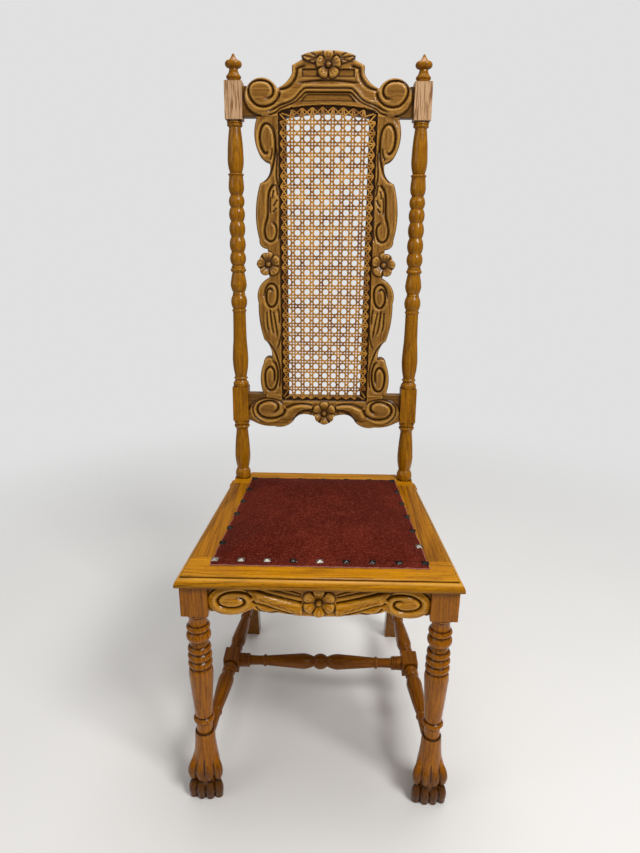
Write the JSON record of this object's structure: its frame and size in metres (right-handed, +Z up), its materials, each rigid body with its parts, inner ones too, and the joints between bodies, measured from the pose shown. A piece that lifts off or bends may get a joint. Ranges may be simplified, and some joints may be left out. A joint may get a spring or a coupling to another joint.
{
  "type": "high-backed caned side chair",
  "caption": "High-backed oak side chair with turned posts, carved and caned back, nailed velvet seat pad, turned stretchers and carved paw feet.",
  "frame": {"origin": "on the floor, at the middle of the chair's whole width and depth", "axes": "+Z up, +Y towards the chair's back, +X to the sitter's left"},
  "size_m": [0.4668, 0.511, 1.284],
  "materials": {
    "oak": "glossy golden-brown varnish over open-grained oak, darker in the recesses",
    "cane": "split cane, satin, varnished honey brown",
    "velvet": "worn burgundy velvet, short pile",
    "nail_metal": "antiqued pewter, uneven dark patina",
    "screw_steel": "plain zinc-plated steel",
    "webbing": "woven jute, matte",
    "hessian": "coarse plain-woven jute, matte",
    "stuffing": "soft fibre filling, matte"
  },
  "bodies": {
    "root": {"rear_post_left": "oak", "rear_post_right": "oak", "front_leg_left": "oak", "front_leg_right": "oak", "seat_rail_front": "oak", "seat_rail_left": "oak", "seat_rail_right": "oak", "seat_rail_rear": "oak", "side_stretcher_left": "oak", "side_stretcher_right": "oak", "cross_stretcher": "oak", "crest_rail": "oak", "lower_back_rail": "oak", "back_stile_left": "oak", "back_stile_right": "oak", "cane_panel": "cane", "seat_board_front": "oak", "seat_board_rear": "oak", "seat_board_left": "oak", "seat_board_right": "oak", "corner_block_front_left": "oak", "corner_block_front_right": "oak", "corner_block_rear_left": "oak", "corner_block_rear_right": "oak", "seat_screws": "screw_steel", "seat_webbing": "webbing", "hessian": "hessian", "seat_stuffing": "stuffing", "velvet_cover": "velvet", "seat_nails_front": "nail_metal", "seat_nails_rear": "nail_metal", "seat_nails_left": "nail_metal", "seat_nails_right": "nail_metal"}
  },
  "joints": []
}
